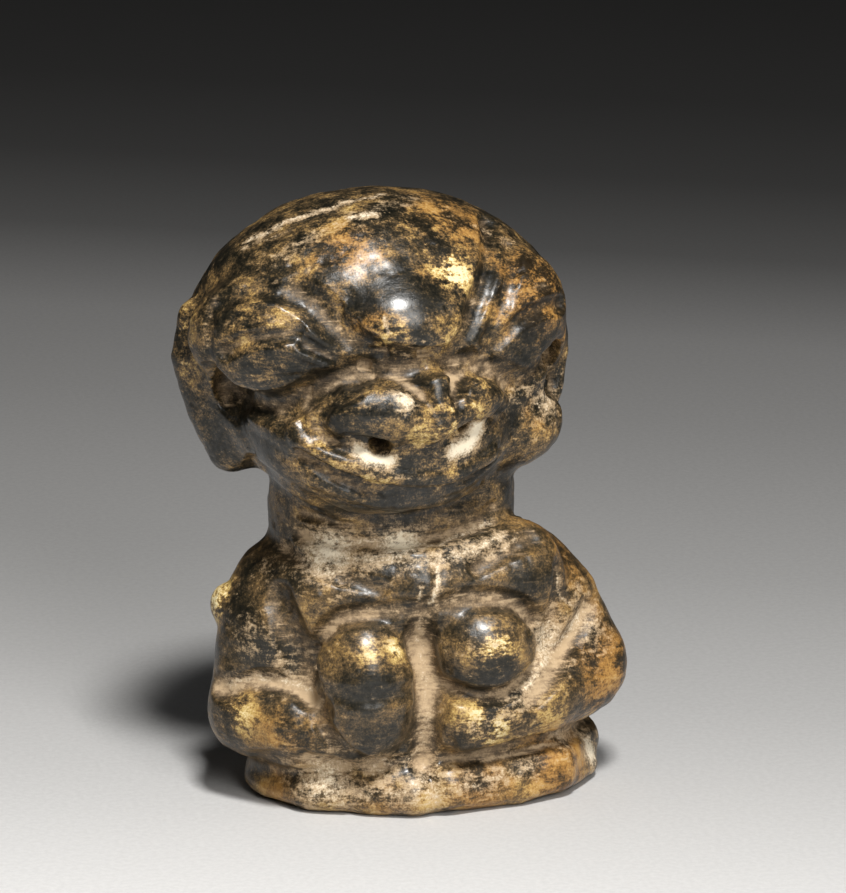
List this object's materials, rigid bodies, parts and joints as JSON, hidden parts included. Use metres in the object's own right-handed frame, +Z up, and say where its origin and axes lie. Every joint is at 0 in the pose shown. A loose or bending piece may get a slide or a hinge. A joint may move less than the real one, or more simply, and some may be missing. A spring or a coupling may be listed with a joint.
{
  "type": "carved stone female figure",
  "caption": "Small carved soft-stone female figure with a large slit-eyed head, hands held at the breasts, on a rounded base",
  "frame": {"origin": "centre of the bounding box on the flat underside", "axes": "+Z up along the height, +X to the viewer's right when facing the figure, -Y out of the front of the figure"},
  "size_m": [0.056, 0.0422, 0.075],
  "materials": {
    "stone": "worn, hand-polished dark soft stone with tan deposit in the carved lines"
  },
  "bodies": {
    "root": {"figure": "stone"}
  },
  "joints": []
}
